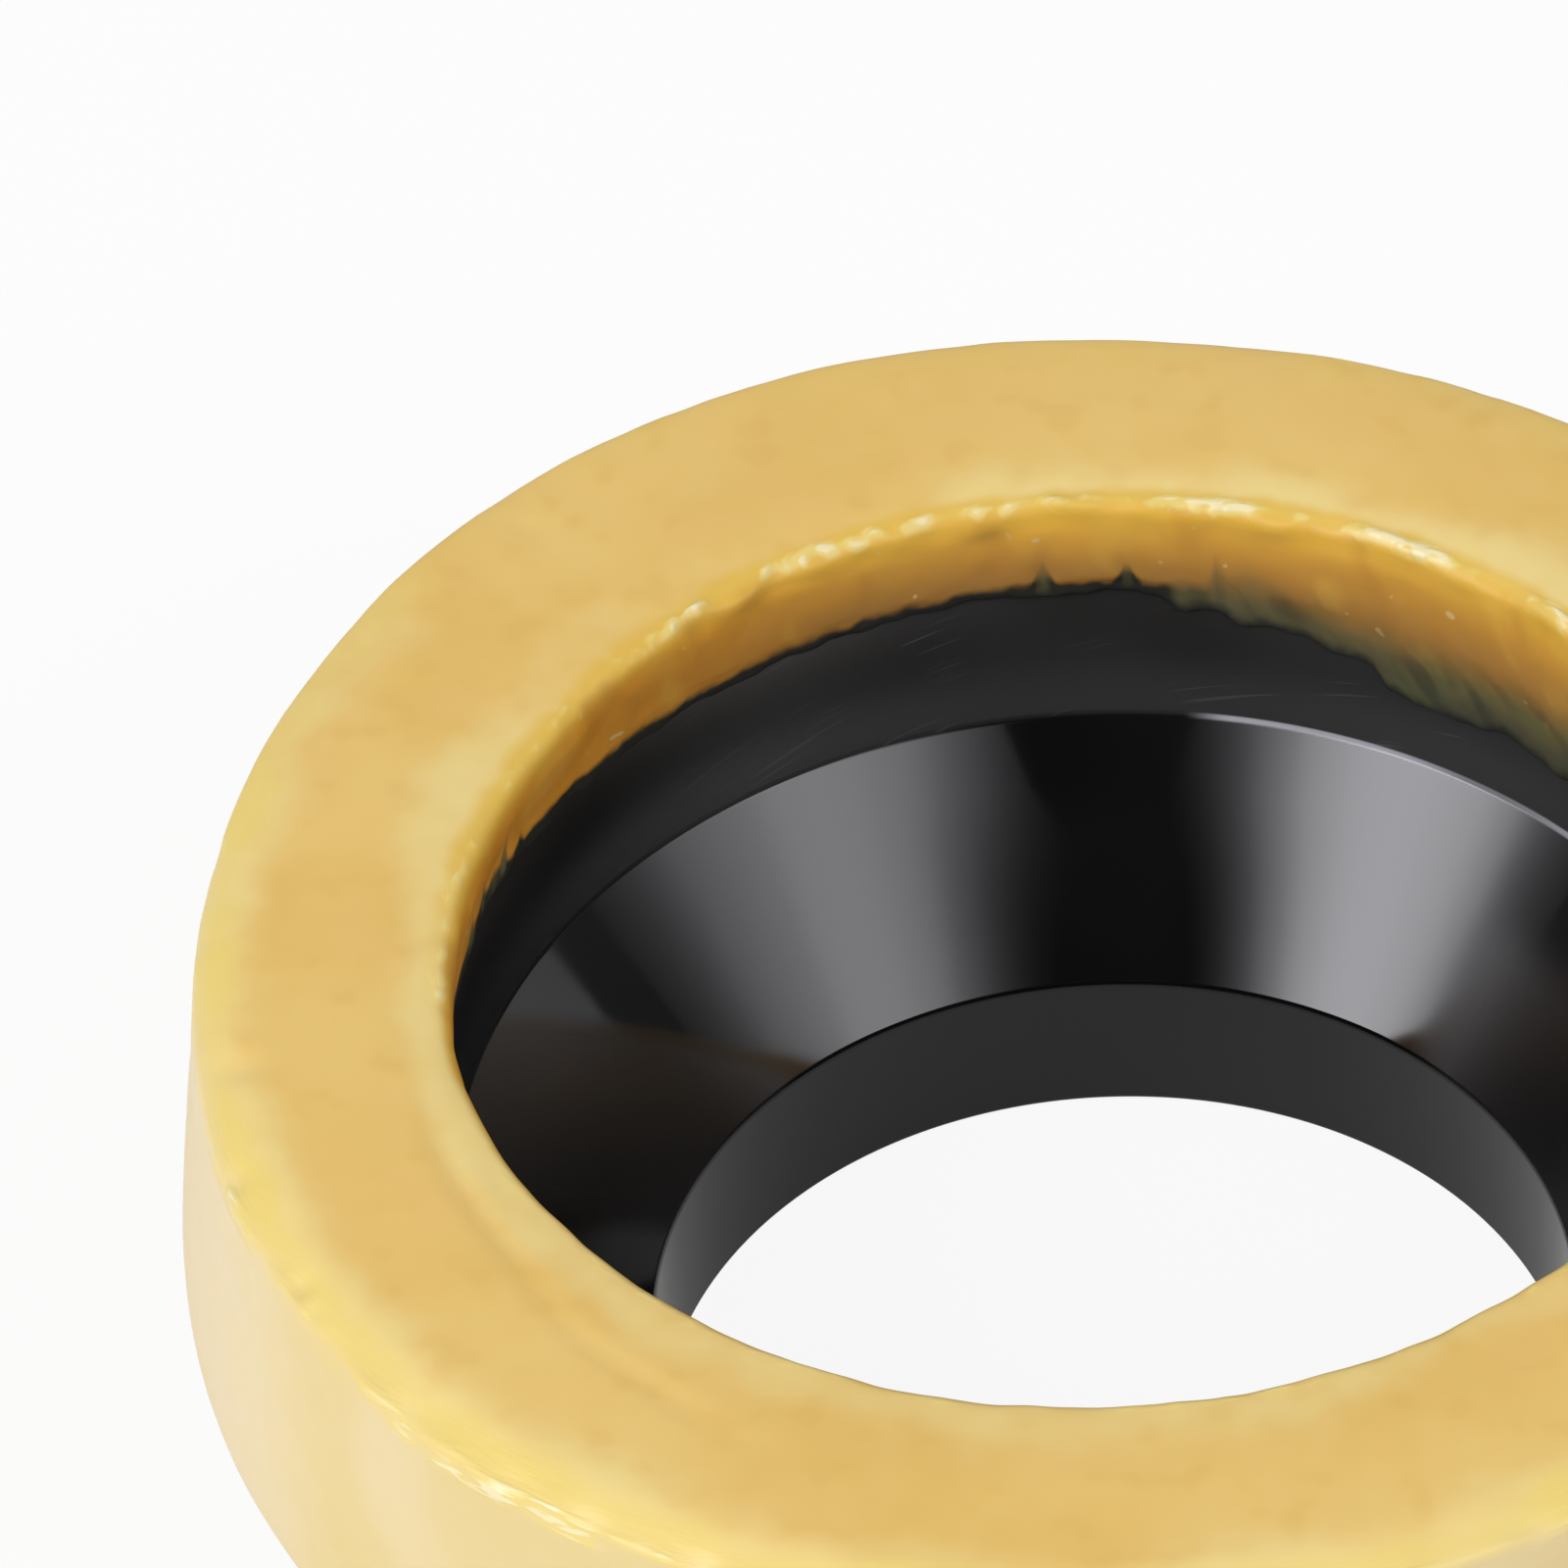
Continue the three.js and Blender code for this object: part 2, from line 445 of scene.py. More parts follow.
def mark_face(spot, column):
    """Dents, soft waves and the knife's track."""
    radius, depth = spot.radius, spot.depth
    on_top = 1 - smooth(depth, 0.9, 1.5)
    for middle, place_r, size, width in DENTS:
        if abs(spot.degrees - middle) < 6:
            away = math.hypot((spot.degrees - middle) * 1.15, radius - place_r)
            spot.z -= size * hump(away, 0, width) * on_top
    face = 1 - smooth(depth, 0.4, 0.9)
    waves = 0.14 * rough(spot.angle, spot.r, 15, 5.2) + 0.03 * rough(spot.angle, spot.r, 4, 2.9)
    spot.z += face * (waves - 0.06)
    spot.z -= face * 0.22 * column.track_depth * hump(radius, column.track, 0.8)


def tear_bore(spot, column):
    """The bore's upper edge rolls in, tears and gets its burrs, and the bore is wavy."""
    radius, depth = spot.radius, spot.depth
    at_edge = (1 - smooth(depth, 1.2, 7.4)) * (1 - smooth(radius, 49.5, 53.0))
    spot.r += at_edge * column.bore
    lip = hump(radius, LIP_RADIUS, 0.7) * (1 - smooth(depth, 1.8, 3.2)) * column.torn
    spot.r += lip * (column.bore_swell + 0.4 * spot.rough(3.2, 7.7))
    spot.z += lip * (0.4 * rough(spot.angle, 0, 5.0, 2.4) + 0.12 * spot.rough(2.0, 6.1))
    near_top = 1 - smooth(depth, 1.3, 2.0)
    # The torn ridge along the bore's edge is raised and gets a painted glint in the finish.
    ridge = hump(radius, 49.25 + 0.7 * column.wiggle, 0.5) * near_top * column.torn
    uneven = 1.1 * rough(spot.angle, 0, 6.0, 9.6) + 0.9 * rough(spot.angle, spot.r, 1.5, 3.8)
    spot.burr_and_glint += ridge * (0.3 + uneven)
    # A painted glow where light comes through the bore's thin edge, mostly on the back half.
    at_bore = 1 - smooth(radius + column.wiggle, 49.6, 50.9)
    spot.glow += at_bore * near_top * (0.1 + 0.9 * column.back)
    # Inside the bore's edge the rounded shoulder gets a painted highlight, a paler colour.
    wander = 2.2 * rough(spot.angle, 0, 11, 6.4)
    pale = 1 - smooth(radius + wander, 50.4, 53.5 + 3 * column.back)
    spot.shoulder_sheen += column.pale * pale * near_top
    spot.z += 0.2 * min(max(spot.burr_and_glint, 0), 1) * near_top
    inner = smooth(depth, 2, 3.5) * (1 - smooth(radius, 49, 50)) * (1 - smooth(depth, 8, 10))
    waves = 0.2 * rough(spot.angle, spot.z * 0.4, 4.5, 4.8) + 0.05 * spot.rough(2.0, 1.1)
    spot.r += inner * (waves - 0.05)


def thin_skin(spot, column):
    """The lip is drawn out to the skin's end, and thins towards the plastic."""
    if spot.radius < GROOVE_START and LIP_TOP < spot.depth < 12.5:
        share = (spot.depth - LIP_TOP) / (LIP_END - LIP_TOP)
        spot.z = TOP - (LIP_TOP + share * (column.skin - LIP_TOP))
    if spot.radius < COLLAR_SEAT and 2 < spot.depth < 12.5:
        thin = smooth(TOP - spot.z, column.amber - 4.0, column.amber + 2.5)
        thin *= 1 - smooth(spot.radius, 48.8, 49.05)
        spot.r += thin * (COLLAR_SEAT - spot.radius) * 0.65


# %% Work all the points
columns = {}
maps = {"amber_end": [], "skin_end": [], "shoulder_sheen": [], "glow": [], "burr_and_glint": []}
for vertex in wax.data.vertices:
    spot = Spot(vertex.co)
    step = round(math.degrees(spot.angle), 2)
    if step not in columns:
        columns[step] = Column(spot.angle)
    column = columns[step]
    if not spot.in_groove():
        for work in (stray_outside, chip_rim, mark_face, tear_bore):
            work(spot, column)
    thin_skin(spot, column)
    vertex.co = spot.moved()
    maps["amber_end"].append((TOP - column.amber) * MM)
    maps["skin_end"].append((TOP - column.skin) * MM)
    for name in ("shoulder_sheen", "glow", "burr_and_glint"):
        maps[name].append(min(max(getattr(spot, name), 0.0), 1.0))
for name, values in maps.items():
    wax.data.attributes.new(name, "FLOAT", "POINT").data.foreach_set("value", values)
wax.data.update()
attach(wax, "root")
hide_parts("wax_ring")
skin_ends = [round(height / MM, 1) for height in maps["skin_end"]]
print("the skin ends between", min(skin_ends), "and", max(skin_ends), "mm")

# %% [markdown]
# Building a finish out of nodes
# Both finishes are shader node trees. The short helpers below add a node, set its
# sockets and join it up, so that each finish reads from top to bottom as a recipe.
# Patterns read Object coordinates, which stay put on the piece.

# %% Node helpers
def srgb(code):
    """A colour written as six hexadecimal digits, as linear values."""
    parts = [int(code[i:i + 2], 16) / 255 for i in (0, 2, 4)]
    linear = [p / 12.92 if p <= 0.04045 else ((p + 0.055) / 1.055) ** 2.4 for p in parts]
    return (*linear, 1.0)


class Recipe:
    """A node tree, filled one node at a time. Inputs go by name, or by number as i_0, i_1."""

    def __init__(self, tree):
        self.tree = tree

    def add(self, kind, settings=(), **inputs):
        node = self.tree.nodes.new(kind)
        for setting, value in dict(settings).items():
            setattr(node, setting, value)
        for key, value in inputs.items():
            name = int(key[2:]) if key.startswith("i_") else key.replace("_", " ")
            socket = node.inputs[name]
            if isinstance(value, bpy.types.NodeSocket):
                self.tree.links.new(value, socket)
            else:
                socket.default_value = value
        return node

    def noise(self, at, scale, detail=3.0, roughness=0.55):
        node = self.add("ShaderNodeTexNoise", Vector=at, Scale=scale, Detail=detail, Roughness=roughness)
        return node.outputs["Fac"]

    def math(self, operation, a, b=0.0):
        node = self.add("ShaderNodeMath", {"operation": operation}, i_0=a, i_1=b)
        return node.outputs[0]

    def plus(self, a, b):
        return self.math("ADD", a, b)

    def minus(self, a, b):
        return self.math("SUBTRACT", a, b)

    def times(self, a, b):
        return self.math("MULTIPLY", a, b)

    def between(self, value, low, high, to_low=0.0, to_high=1.0):
        node = self.add(
            "ShaderNodeMapRange", {"interpolation_type": "SMOOTHSTEP"},
            i_0=value, i_1=low, i_2=high, i_3=to_low, i_4=to_high,
        )
        return node.outputs[0]

    def blend(self, share, a, b):
        """Goes from one value to another."""
        node = self.add("ShaderNodeMix", {"data_type": "FLOAT"}, i_0=share, i_2=a, i_3=b)
        return node.outputs[0]

    def mix(self, share, a, b):
        """Goes from one colour to another."""
        node = self.add("ShaderNodeMix", {"data_type": "RGBA"}, i_0=share, i_6=a, i_7=b)
        return node.outputs[2]

    def tint(self, colour, code, mask, strength):
        """Lays a colour over another where the mask is white, at no more than this strength."""
        return self.mix(self.times(mask, strength), colour, srgb(code))

    def ramp(self, value, low, high, stops):
        """Colours strung along a value: each stop is that value and six hexadecimal digits."""
        share = self.add("ShaderNodeMapRange", i_0=value, i_1=low, i_2=high).outputs[0]
        node = self.add("ShaderNodeValToRGB", Fac=share)
        elements = node.color_ramp.elements
        while len(elements) < len(stops):
            elements.new(0.5)
        for element, (at, code) in zip(elements, stops):
            element.position = (at - low) / (high - low)
            element.color = srgb(code)
        return node.outputs["Color"]


# %% [markdown]
# Where on the ring a point lies
# Wax and plastic both need to know how far a point is from the seal's axis, how deep it
# lies below the top and how far round it is. A group works these out in millimetres,
# so each material can tell its wall from its face and lay streaks along the bore.

# %% The round coordinates group
UNROLL_RADIUS = 49.0
TO_MM = 1000.0
place = bpy.data.node_groups.new("Place on the seal", "ShaderNodeTree")
for output in ("Radius", "Depth", "Around"):
    place.interface.new_socket(output, in_out="OUTPUT", socket_type="NodeSocketFloat")
place.interface.new_socket("Unrolled", in_out="OUTPUT", socket_type="NodeSocketVector")
recipe = Recipe(place)
coordinates = recipe.add("ShaderNodeTexCoord").outputs["Object"]
axes = recipe.add("ShaderNodeSeparateXYZ", Vector=coordinates).outputs
square = recipe.plus(recipe.times(axes["X"], axes["X"]), recipe.times(axes["Y"], axes["Y"]))
radius_mm = recipe.times(recipe.math("SQRT", square), TO_MM)
depth_mm = recipe.minus(TOP, recipe.times(axes["Z"], TO_MM))
around_mm = recipe.times(recipe.math("ARCTAN2", axes["X"], axes["Y"]), UNROLL_RADIUS)
along_section = recipe.plus(depth_mm, radius_mm)
unrolled = recipe.add("ShaderNodeCombineXYZ", X=around_mm, Y=along_section, Z=0.0).outputs[0]
recipe.add("NodeGroupOutput", Radius=radius_mm, Depth=depth_mm, Around=around_mm, Unrolled=unrolled)

# %% [markdown]
# The wax
# Petroleum wax is soft, amber and a little see-through. Light that sinks into it comes
# out warmer, and the colours carry that: tan on the face, a paler cream down the side
# wall that is partly a painted sheen of the soft box, a painted highlight on the rounded
# shoulders, and a painted glow of richer yellow where the trimmed edges let the light
# through. In the bore it is amber, with painted shade under the rolled-in edge at the
# left and in soft folds, and where it thins to a skin over the black collar it darkens
# and turns olive. Torn burrs along both edges are shinier, and their whiter colour is a
# painted glint.

# %% Read the wax's own maps
wax_finish = bpy.data.materials.new("amber wax")
wax_finish.use_nodes = True
wax_finish.node_tree.nodes.clear()
recipe = Recipe(wax_finish.node_tree)
at = recipe.add("ShaderNodeTexCoord").outputs["Object"]
where = recipe.add("ShaderNodeGroup", {"node_tree": place}).outputs


def painted(name):
    return recipe.add("ShaderNodeAttribute", {"attribute_name": name}).outputs["Fac"]


def height_above(name):
    """Millimetres above one of the wax's edges, which are kept as heights in metres."""
    edge_depth = recipe.minus(TOP, recipe.times(painted(name), TO_MM))
    return recipe.plus(recipe.minus(edge_depth, where["Depth"]), fray)


def stretched(angle, along, across):
    """The unrolled surface, turned and squeezed, so that noise on it becomes streaks."""
    node = recipe.add("ShaderNodeMapping", {"vector_type": "TEXTURE"}, Vector=where["Unrolled"])
    node.inputs["Rotation"].default_value = (0, 0, math.radians(angle))
    node.inputs["Scale"].default_value = (along, across, 1)
    return node.outputs[0]


broad = recipe.noise(at, 38.0, 1.0)
patches = recipe.noise(at, 95.0, 1.0)
mottle = recipe.noise(at, 260.0, 1.0)
fray = recipe.times(recipe.minus(recipe.noise(at, 620.0, 1.0), 0.5), 1.0)
# Three maps: a painted highlight on the shoulders, a painted glow, and the burrs with their painted
# glints.
shoulder_sheen, glow, burr_and_glint = painted("shoulder_sheen"), painted("glow"), painted("burr_and_glint")

# %% Colour the face and the wall
face = recipe.mix(recipe.between(broad, 0.35, 0.65), srgb("E5BD68"), srgb("E9C472"))
face = recipe.tint(face, "E9C171", recipe.between(patches, 0.5, 0.72), 0.6)
face = recipe.tint(face, "DDB260", recipe.between(mottle, 0.55, 0.75), 0.3)
# The rounded shoulders get a painted highlight: a paler colour with a frayed edge.
ragged = recipe.times(recipe.plus(patches, mottle), 0.6)
frayed = recipe.between(shoulder_sheen, recipe.minus(ragged, 0.65), recipe.plus(ragged, 0.45))
colour = recipe.tint(face, "EDD68E", frayed, 0.9)
# The side wall is a paler cream, partly its own colour and partly a painted sheen of the soft box.
wall = recipe.mix(recipe.between(broad, 0.3, 0.7), srgb("E3CB87"), srgb("E4CD93"))
side = recipe.add("ShaderNodeSeparateXYZ", Vector=at).outputs["X"]
rosy = recipe.math("MAXIMUM", recipe.between(side, -0.055, -0.066),
                   recipe.times(recipe.between(broad, 0.6, 0.75), 0.5))
wall = recipe.tint(wall, "E9D7B1", rosy, 0.9)
below_rim = recipe.times(recipe.between(where["Depth"], 0.8, 2.6), recipe.between(where["Radius"], 60, 64))
# Where light comes through the thin edges the wax gets a painted glow of clearer yellow.
lemon = recipe.mix(recipe.between(where["Radius"], 56, 60), srgb("E2B94C"), srgb("EAD073"))
colour = recipe.mix(recipe.times(glow, 0.85), colour, lemon)
colour = recipe.mix(below_rim, colour, wall)

# %% Colour the bore and its skin
amber = recipe.ramp(where["Depth"], 0.0, 10.0, [
    (0.4, "E0B84A"), (1.2, "E3B546"), (2.0, "E5B243"), (3.5, "DFA741"), (4.6, "D69D3F"), (6.0, "C9923D"),
    (7.2, "C08B3E"), (9.0, "B8853D")])
# At the left of the bore, under the rolled-in edge, the amber turns a deeper orange: painted shade.
left_shade = recipe.times(recipe.between(side, -0.012, -0.040), recipe.between(where["Depth"], 1.0, 3.0))
amber = recipe.mix(left_shade, amber, srgb("DE962A"))
# Darker and lighter streaks down the bore are a painted shade and painted light of soft folds.
fold_shading = recipe.noise(stretched(70, 9.0, 4.5), 1.0, 1.0)
amber = recipe.tint(amber, "BD8032", recipe.between(fold_shading, 0.5, 0.75), 0.4)
amber = recipe.tint(amber, "E6B84C", recipe.between(fold_shading, 0.45, 0.28), 0.35)
in_bore = recipe.between(where["Radius"], 50.0, 49.2)
in_bore = recipe.times(in_bore, recipe.between(where["Depth"], 0.7, 1.2))
colour = recipe.mix(in_bore, colour, amber)
speckle = recipe.between(recipe.noise(at, 800.0, 0.0), 0.80, 0.84)
colour = recipe.mix(recipe.times(speckle, in_bore), colour, srgb("DCB878"))
above_amber = height_above("amber_end")
above_skin = height_above("skin_end")
streak = recipe.noise(stretched(60, 8.0, 2.4), 1.0, 1.0)
skin = recipe.mix(recipe.between(above_amber, -4.5, 0.5), srgb("4B4A37"), srgb("7A6C40"))
skin = recipe.tint(skin, "63653D", recipe.between(patches, 0.45, 0.6), 0.6)
skin = recipe.tint(skin, "30342A", recipe.between(streak, 0.5, 0.72), 0.55)
skin_width = recipe.minus(above_amber, above_skin)
skin = recipe.mix(recipe.between(skin_width, -1.9, -3.2), srgb("26251C"), skin)
skin = recipe.mix(recipe.between(above_skin, 1.6, 0.0), skin, srgb("20221D"))
fade = recipe.between(skin_width, -1.8, -4.5, 0.7, 3.4)
blackened = recipe.between(above_amber, fade, recipe.times(fade, -0.6))
colour = recipe.mix(recipe.times(blackened, in_bore), colour, skin)

# %% Make the burrs shiny, with painted glints
# The burrs' whiter colour is a painted glint. Their lower roughness and raised bump are real.
flecks = recipe.between(recipe.noise(stretched(6, 2.2, 0.7), 1.0, 1.0), 0.4, 0.6)
torn = recipe.times(burr_and_glint, recipe.plus(recipe.times(flecks, 0.8), 0.42))
colour = recipe.tint(colour, "EAD27E", recipe.between(torn, 0.05, 0.3), 0.8)
colour = recipe.tint(colour, "F5EBC4", recipe.between(torn, 0.3, 0.75), 0.72)
gloss = recipe.between(mottle, 0.3, 0.7, 0.40, 0.54)
gloss = recipe.blend(recipe.between(burr_and_glint, 0.1, 0.6), gloss, 0.28)
raised = recipe.times(flecks, recipe.plus(burr_and_glint, recipe.times(glow, 0.12)))
bump_height = recipe.plus(recipe.times(mottle, 0.5), recipe.times(raised, 0.7))
bump = recipe.add("ShaderNodeBump", Strength=0.3, Distance=0.0005, Height=bump_height)

# %% Pour the wax
normal = bump.outputs["Normal"]
shader = recipe.add("ShaderNodeBsdfPrincipled", Base_Color=colour, Roughness=gloss, Normal=normal)
shader.inputs["IOR"].default_value = 1.44
recipe.add("ShaderNodeOutputMaterial", Surface=shader.outputs["BSDF"])
wax.data.materials.append(wax_finish)
print("the wax's finish has", len(wax_finish.node_tree.nodes), "nodes")

# %% [markdown]
# The plastic
# Black polyethylene comes glossy where the mould was polished, on the cone and in the
# neck, and satin on the collar. It is never one flat black: it has fine turning lines,
# handling scratches along the collar and a cloudiness that the light shows up. Its colour
# also carries painted light: the collar is painted a lighter grey away from its middle,
# and near black at the left, a painted shadow, and a painted highlight runs along the
# edge between collar and cone.

# %% Mould the plastic
plastic_finish = bpy.data.materials.new("black polyethylene")
plastic_finish.use_nodes = True
plastic_finish.node_tree.nodes.clear()
recipe = Recipe(plastic_finish.node_tree)
at = recipe.add("ShaderNodeTexCoord").outputs["Object"]
where = recipe.add("ShaderNodeGroup", {"node_tree": place}).outputs
cloudy = recipe.noise(at, 80.0, 0.0)
turning = recipe.noise(stretched(0, 60.0, 0.35), 1.0, 0.0)
scratches = recipe.between(recipe.noise(stretched(-14, 16.0, 0.32), 1.0, 1.0), 0.60, 0.70)
scratched = recipe.between(recipe.noise(stretched(0, 9.0, 6.0), 1.0, 0.0), 0.5, 0.62)
scratches = recipe.times(scratches, scratched)
side = recipe.add("ShaderNodeSeparateXYZ", Vector=at).outputs["X"]
cone_top, neck_top = TOP - CONE, TOP - NECK_TOP
on_cone = recipe.times(recipe.between(where["Depth"], cone_top - 0.1, cone_top + 0.2),
                      recipe.between(where["Depth"], neck_top + 0.2, neck_top - 0.1))
in_neck = recipe.between(where["Depth"], neck_top - 0.1, neck_top + 0.1)
satin = recipe.mix(recipe.between(cloudy, 0.3, 0.7), srgb("1F1F1F"), srgb("242424"))
# Away from its middle the collar is painted a lighter grey: painted light.
off_middle = recipe.between(recipe.math("ABSOLUTE", side), 0.006, 0.026)
satin = recipe.tint(satin, "2D2D2D", off_middle, 0.8)
satin = recipe.tint(satin, "444446", scratches, 0.8)
# At the left the collar is painted near black: a painted shadow.
satin = recipe.mix(recipe.between(side, -0.025, -0.041), satin, srgb("050505"))
satin = recipe.mix(in_neck, satin, srgb("030303"))
black = recipe.mix(recipe.between(cloudy, 0.3, 0.7), srgb("09090A"), srgb("0D0D0E"))
colour = recipe.mix(on_cone, satin, black)
# A painted highlight: a bright line along the edge between collar and cone, on the right.
off_edge = recipe.math("ABSOLUTE", recipe.minus(where["Depth"], cone_top))
edge_highlight = recipe.times(recipe.between(off_edge, 0.3, 0.1), recipe.between(where["Around"], 7.0, 11.0))
edge_highlight = recipe.times(edge_highlight, recipe.between(where["Around"], 110.0, 70.0))
edge_highlight = recipe.times(edge_highlight, recipe.between(cloudy, 0.2, 0.5, 0.5, 1.0))
colour = recipe.mix(edge_highlight, colour, srgb("A9A9B2"))
gloss_cone = recipe.between(cloudy, 0.3, 0.7, 0.06, 0.09)
below_wedge = recipe.minus(where["Depth"], recipe.plus(recipe.times(where["Around"], 0.7), 65.0))
handled = recipe.times(recipe.between(below_wedge, -2.5, 0.5), recipe.between(below_wedge, 20.0, 13.0))
handled = recipe.times(handled, recipe.between(where["Around"], -28.0, -42.0))
far_right = recipe.between(where["Around"], 35.0, 42.0)
far_right = recipe.times(far_right, recipe.between(where["Around"], 100.0, 65.0))
far_right = recipe.times(far_right, recipe.between(where["Depth"], 26.0, 31.0))
handled = recipe.math("MAXIMUM", handled, far_right)
gloss_cone = recipe.blend(handled, gloss_cone, 0.28)
gloss_satin = recipe.between(cloudy, 0.3, 0.7, 0.34, 0.38)
gloss_satin = recipe.blend(in_neck, gloss_satin, 0.09)
gloss = recipe.blend(on_cone, gloss_satin, gloss_cone)
relief = recipe.plus(recipe.times(turning, 0.02), recipe.times(cloudy, 0.2))
bump = recipe.add("ShaderNodeBump", Strength=1.0, Distance=0.0002, Height=relief)
normal = bump.outputs["Normal"]
shader = recipe.add("ShaderNodeBsdfPrincipled", Base_Color=colour, Roughness=gloss, Normal=normal)
shader.inputs["IOR"].default_value = 1.56
shader.inputs["Specular Tint"].default_value = (0.96, 0.95, 1.0, 1.0)
recipe.add("ShaderNodeOutputMaterial", Surface=shader.outputs["BSDF"])
horn.data.materials.append(plastic_finish)
print("the plastic's finish has", len(plastic_finish.node_tree.nodes), "nodes")

# %% [markdown]
# The studio
# The seal stands on a plain white floor. The floor is a real surface that takes a soft
# shadow, brightened for the camera and for reflections so that it reads as white. Its
# underside is see-through, so the seal can also be looked at from below.

# %% Lay the floor
nothing_selected()
bpy.ops.mesh.primitive_plane_add(size=6.0, location=(0, 0, 0))
floor = bpy.context.object
floor.name = "floor"
floor_finish = bpy.data.materials.new("white floor")
floor_finish.use_nodes = True
floor_finish.node_tree.nodes.clear()
recipe = Recipe(floor_finish.node_tree)
ray = recipe.add("ShaderNodeLightPath")
seen = recipe.plus(recipe.times(ray.outputs["Is Camera Ray"], 0.9),
                   recipe.times(ray.outputs["Is Glossy Ray"], 0.1))
white = recipe.add("ShaderNodeBsdfDiffuse", Color=(0.9, 0.9, 0.9, 1.0)).outputs[0]
bright = recipe.add("ShaderNodeEmission", Color=(1.0, 1.0, 1.0, 1.0), Strength=1.0).outputs[0]
lit = recipe.add("ShaderNodeMixShader", i_0=seen, i_1=white, i_2=bright).outputs[0]
clear = recipe.add("ShaderNodeBsdfTransparent").outputs[0]
below = recipe.add("ShaderNodeNewGeometry").outputs["Backfacing"]
both = recipe.add("ShaderNodeMixShader", i_0=below, i_1=lit, i_2=clear).outputs[0]
recipe.add("ShaderNodeOutputMaterial", Surface=both)
floor_finish.cycles.emission_sampling = "NONE"
floor.data.materials.append(floor_finish)

# %% [markdown]
# The lights
# Two soft boxes stand left and right of the camera. Their reflections are the two
# pale stripes on the black cone, and the dark gap between them is the unlit room behind
# the camera. A real soft box is brightest near its middle and fades to its edges, so
# each lamp has a curve of brightness across its width.

# %% Hang the soft boxes
TARGET = Vector((0, 0, 0.03))


def soft_box(name, azimuth, elevation, distance, width, height, power, fade):
    """An area lamp aimed at the seal. Azimuth 0 is the camera's side, and 90 is +X.
    Its fade lists the brightness in even steps across its width, in the way azimuth counts."""
    a, e = math.radians(azimuth), math.radians(elevation)
    away = Vector((math.sin(a) * math.cos(e), -math.cos(a) * math.cos(e), math.sin(e)))
    lamp = bpy.data.lights.new(name, "AREA")
    lamp.shape = "RECTANGLE"
    lamp.size, lamp.size_y, lamp.energy = width, height, power
    box = bpy.data.objects.new(name, lamp)
    bpy.context.scene.collection.objects.link(box)
    box.location = TARGET + away * distance
    box.rotation_mode = "QUATERNION"
    box.rotation_quaternion = away.to_track_quat("Z", "Y")
    box.visible_camera = False
    lamp.use_nodes = True
    lamp.node_tree.nodes.clear()
    recipe = Recipe(lamp.node_tree)
    on_lamp = recipe.add("ShaderNodeNewGeometry").outputs["Parametric"]
    across = recipe.add("ShaderNodeSeparateXYZ", Vector=on_lamp)
    curve = recipe.add("ShaderNodeFloatCurve", Value=across.outputs["X"])
    points = curve.mapping.curves[0].points
    points[0].location, points[1].location = (0, fade[0]), (1, fade[-1])
    for step, brightness in enumerate(fade[1:-1], 1):
        points.new(step / (len(fade) - 1), brightness)
    curve.mapping.update()
    light = recipe.add("ShaderNodeEmission", Color=(1.0, 1.0, 1.0, 1.0), Strength=curve.outputs[0])
    recipe.add("ShaderNodeOutputLight", Surface=light.outputs[0])


LEFT_FADE = [0.02, 0.11, 0.59, 0.92, 1.0, 0.81, 0.34, 0.06, 0]
RIGHT_FADE = [0, 0.05, 0.28, 0.71, 0.84, 0.60, 0.36, 0.11, 0.02]
soft_box("soft box left", -56.5, 38, 1.8, width=1.95, height=1.1, power=48.5, fade=LEFT_FADE)
soft_box("soft box right", 53, 38, 1.8, width=2.4, height=1.1, power=39, fade=RIGHT_FADE)

# %% [markdown]
# The room
# The world lights the seal evenly from all sides. What its reflections show is another
# matter: a white sweep stands behind the seal, and the room on the camera's side is
# dark. The edge of that sweep makes the pale wedge at the left of the black cone.

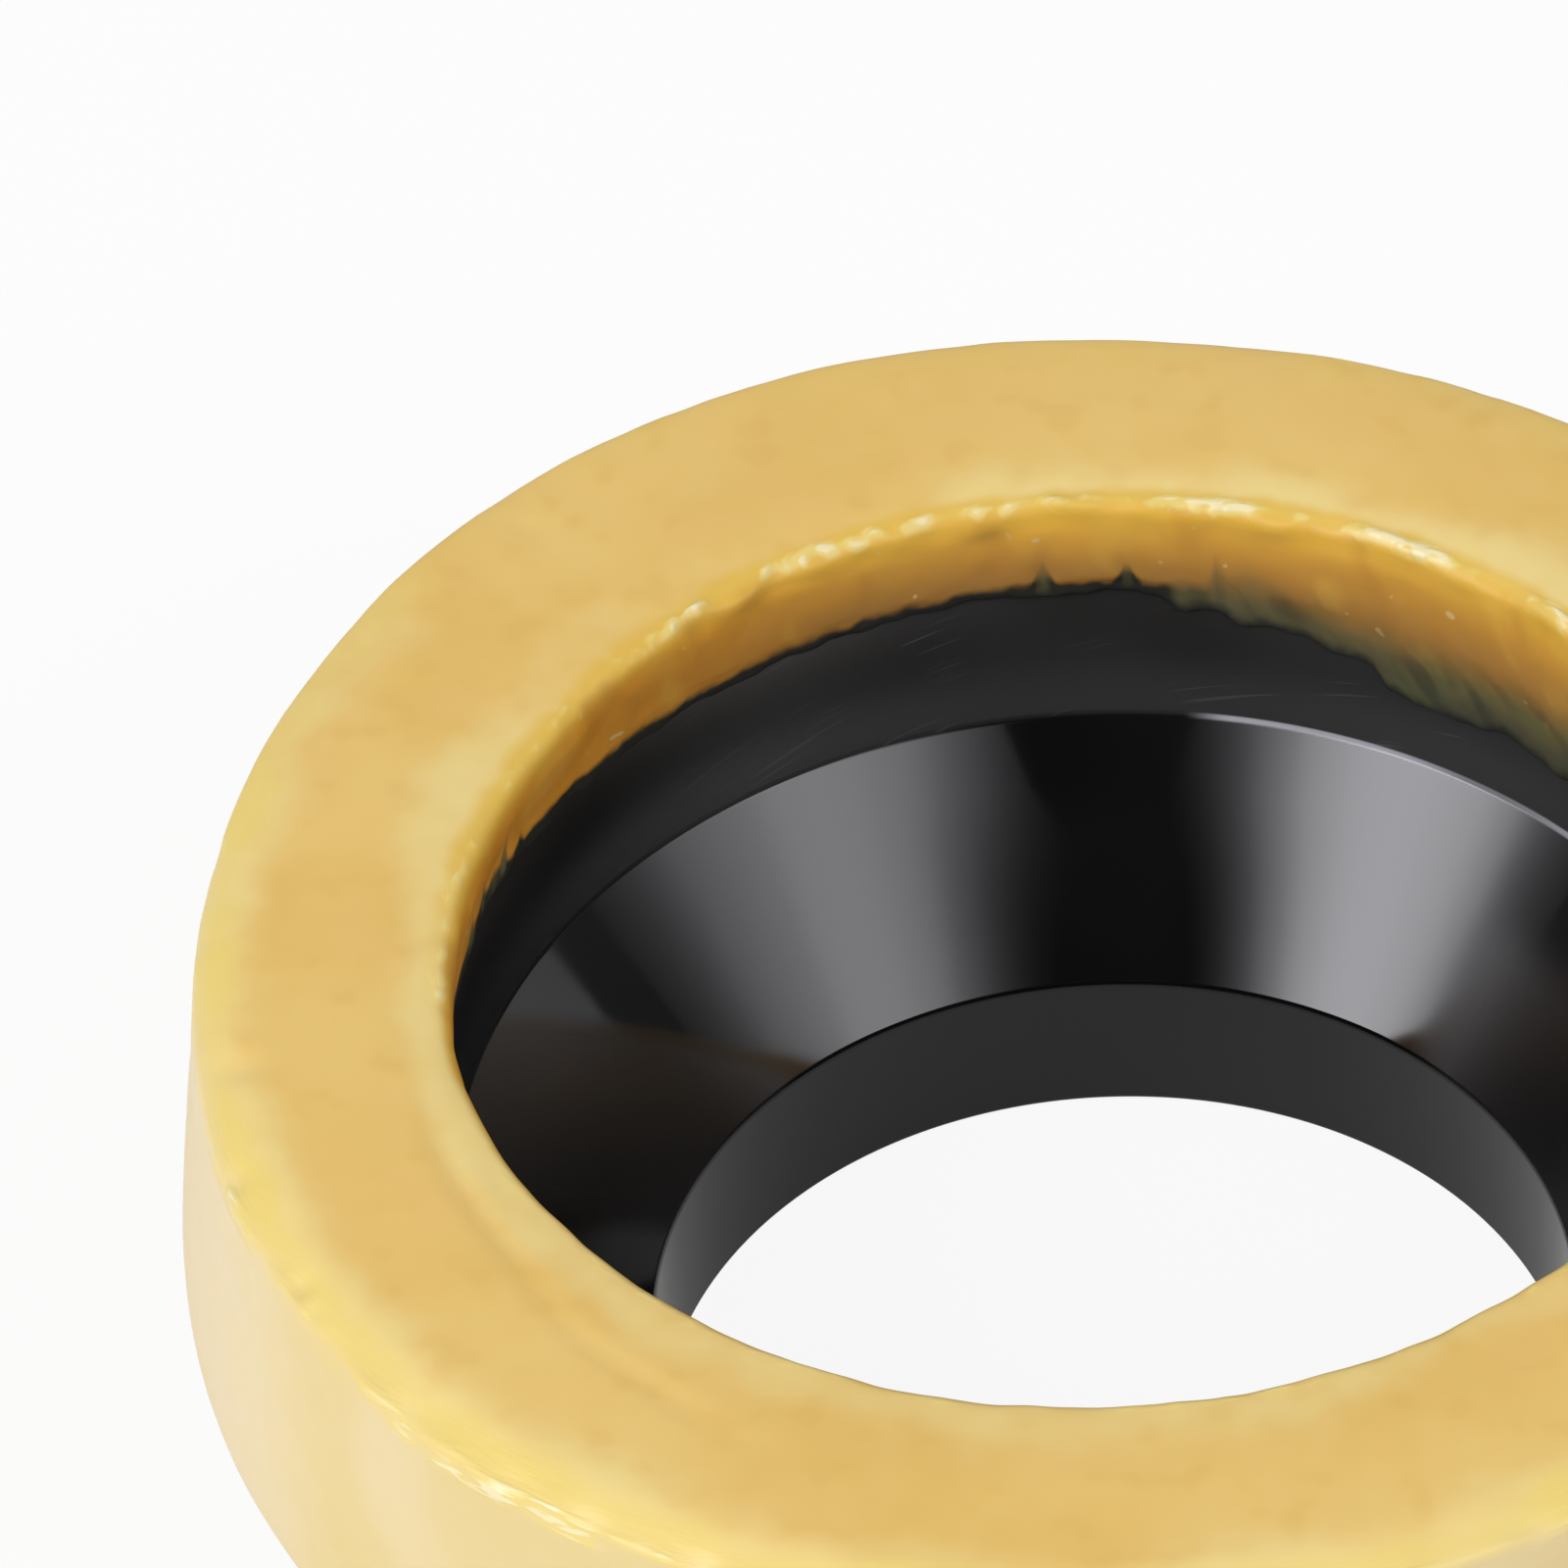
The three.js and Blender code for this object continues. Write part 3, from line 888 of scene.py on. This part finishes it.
# %% Light the room
world = bpy.data.worlds.new("studio")
bpy.context.scene.world = world
world.use_nodes = True
world.node_tree.nodes.clear()
recipe = Recipe(world.node_tree)
ray = recipe.add("ShaderNodeLightPath").outputs
WHITE = (1.0, 1.0, 1.0, 1.0)
sky = recipe.add("ShaderNodeTexCoord").outputs["Generated"]
direction = recipe.add("ShaderNodeSeparateXYZ", Vector=sky).outputs
off_axis = recipe.math("ABSOLUTE", direction["X"])
sweep = recipe.between(recipe.minus(direction["Y"], recipe.times(off_axis, 0.16)), 0.0, 0.03)
room = recipe.between(off_axis, 0.3, 0.85, 0.04, 0.15)
seen = recipe.blend(sweep, room, 0.8)
ambient = recipe.add("ShaderNodeBackground", Color=WHITE, Strength=0.29).outputs[0]
mirrored = recipe.add("ShaderNodeBackground", Color=WHITE, Strength=seen).outputs[0]
white = recipe.add("ShaderNodeBackground", Color=WHITE, Strength=1.0).outputs[0]
first = recipe.add("ShaderNodeMixShader", i_0=ray["Is Glossy Ray"], i_1=ambient, i_2=mirrored).outputs[0]
both = recipe.add("ShaderNodeMixShader", i_0=ray["Is Camera Ray"], i_1=first, i_2=white).outputs[0]
recipe.add("ShaderNodeOutputWorld", Surface=both)

# %% [markdown]
# The camera
# The photograph was taken from well away with a long lens, looking down at about 43
# degrees, a little from the left and with a slight roll. The seal runs out of the frame
# at the right and at the bottom.

# %% Set the camera
SENSOR = 36.0
FOCAL_PIXELS, PHOTO_PIXELS = 14000, 1600
YAW, PITCH, ROLL = math.radians(-1.953), math.radians(43.0364), math.radians(-3.5011)
forward = Vector((math.sin(YAW) * math.cos(PITCH), math.cos(YAW) * math.cos(PITCH), -math.sin(PITCH)))
level = Vector((math.cos(YAW), -math.sin(YAW), 0))
upright = level.cross(forward)
right = level * math.cos(ROLL) + upright * math.sin(ROLL)
up = -level * math.sin(ROLL) + upright * math.cos(ROLL)
lens = bpy.data.cameras.new("camera")
lens.sensor_width = SENSOR
lens.lens = SENSOR * FOCAL_PIXELS / PHOTO_PIXELS
camera = bpy.data.objects.new("camera", lens)
bpy.context.scene.collection.objects.link(camera)
camera.matrix_world = Matrix((right, up, -forward)).transposed().to_4x4()
camera.location = Vector((0.002421, -0.731160, 0.699996 + wax_high.z))
lens.clip_start, lens.clip_end = 0.01, 20.0
bpy.context.scene.camera = camera
bpy.context.scene.view_settings.view_transform = "Standard"
